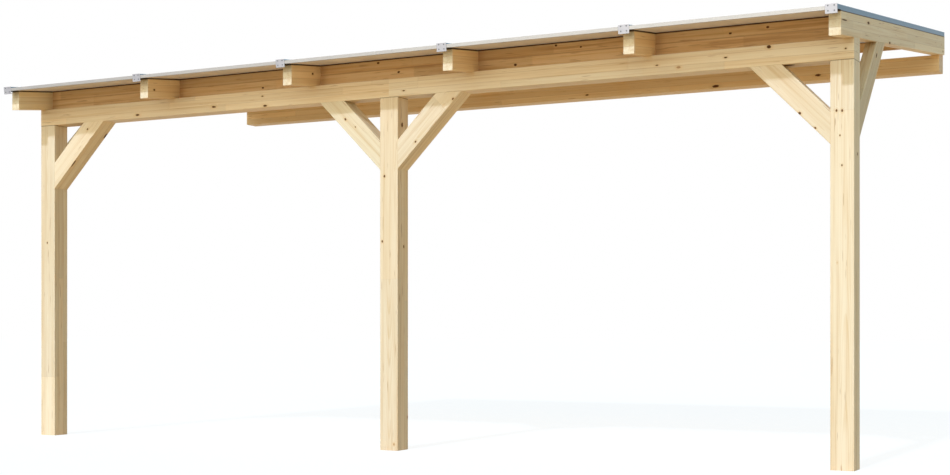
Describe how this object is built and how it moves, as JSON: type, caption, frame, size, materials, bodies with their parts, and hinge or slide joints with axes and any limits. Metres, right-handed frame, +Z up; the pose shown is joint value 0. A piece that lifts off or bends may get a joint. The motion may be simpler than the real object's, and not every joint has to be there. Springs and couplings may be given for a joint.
{
  "type": "lean-to patio roof",
  "caption": "Timber lean-to pergola roof for a house wall: posts with knee braces carry a front beam, rafters and clear multi-wall sheets under aluminium glazing bars.",
  "frame": {"origin": "centre of the wall plate's back face, on the wall line, midway along the roof; the ground is at z = -2.400 m", "axes": "+X along the wall to the right, +Y into the wall, +Z up; the posts stand on the -Y side"},
  "size_m": [5.41, 2.7255, 2.6062],
  "materials": {
    "planed_spruce": "planed, untreated",
    "multiwall_sheet": "translucent polycarbonate",
    "aluminium_channel": "mill finish",
    "aluminium_bar": "mill finish, extruded",
    "aluminium_cap": "satin sheet",
    "black_rubber": "matt"
  },
  "bodies": {
    "root": {"post_left": "planed_spruce", "post_middle": "planed_spruce", "post_right": "planed_spruce", "beam_left": "planed_spruce", "beam_right": "planed_spruce", "wall_plate": "planed_spruce", "knee_brace_left": "planed_spruce", "knee_brace_middle_left": "planed_spruce", "knee_brace_middle_right": "planed_spruce", "knee_brace_right": "planed_spruce", "side_brace_left": "planed_spruce", "side_brace_right": "planed_spruce", "rafter_1": "planed_spruce", "rafter_2": "planed_spruce", "rafter_3": "planed_spruce", "rafter_4": "planed_spruce", "rafter_5": "planed_spruce", "rafter_6": "planed_spruce", "blocking_1": "planed_spruce", "blocking_2": "planed_spruce", "blocking_3": "planed_spruce", "blocking_4": "planed_spruce", "blocking_5": "planed_spruce", "wall_battens": "planed_spruce", "roof_sheet_1": "multiwall_sheet", "roof_sheet_2": "multiwall_sheet", "roof_sheet_3": "multiwall_sheet", "roof_sheet_4": "multiwall_sheet", "roof_sheet_5": "multiwall_sheet", "edge_channel_1": "aluminium_channel", "edge_channel_2": "aluminium_channel", "edge_channel_3": "aluminium_channel", "edge_channel_4": "aluminium_channel", "edge_channel_5": "aluminium_channel", "glazing_bar_1": "aluminium_bar", "glazing_bar_2": "aluminium_bar", "glazing_bar_3": "aluminium_bar", "glazing_bar_4": "aluminium_bar", "glazing_bar_5": "aluminium_bar", "glazing_bar_6": "aluminium_bar", "end_caps": "aluminium_cap", "rafter_strips": "black_rubber", "board_strips": "black_rubber", "bar_lips": "black_rubber"}
  },
  "joints": []
}
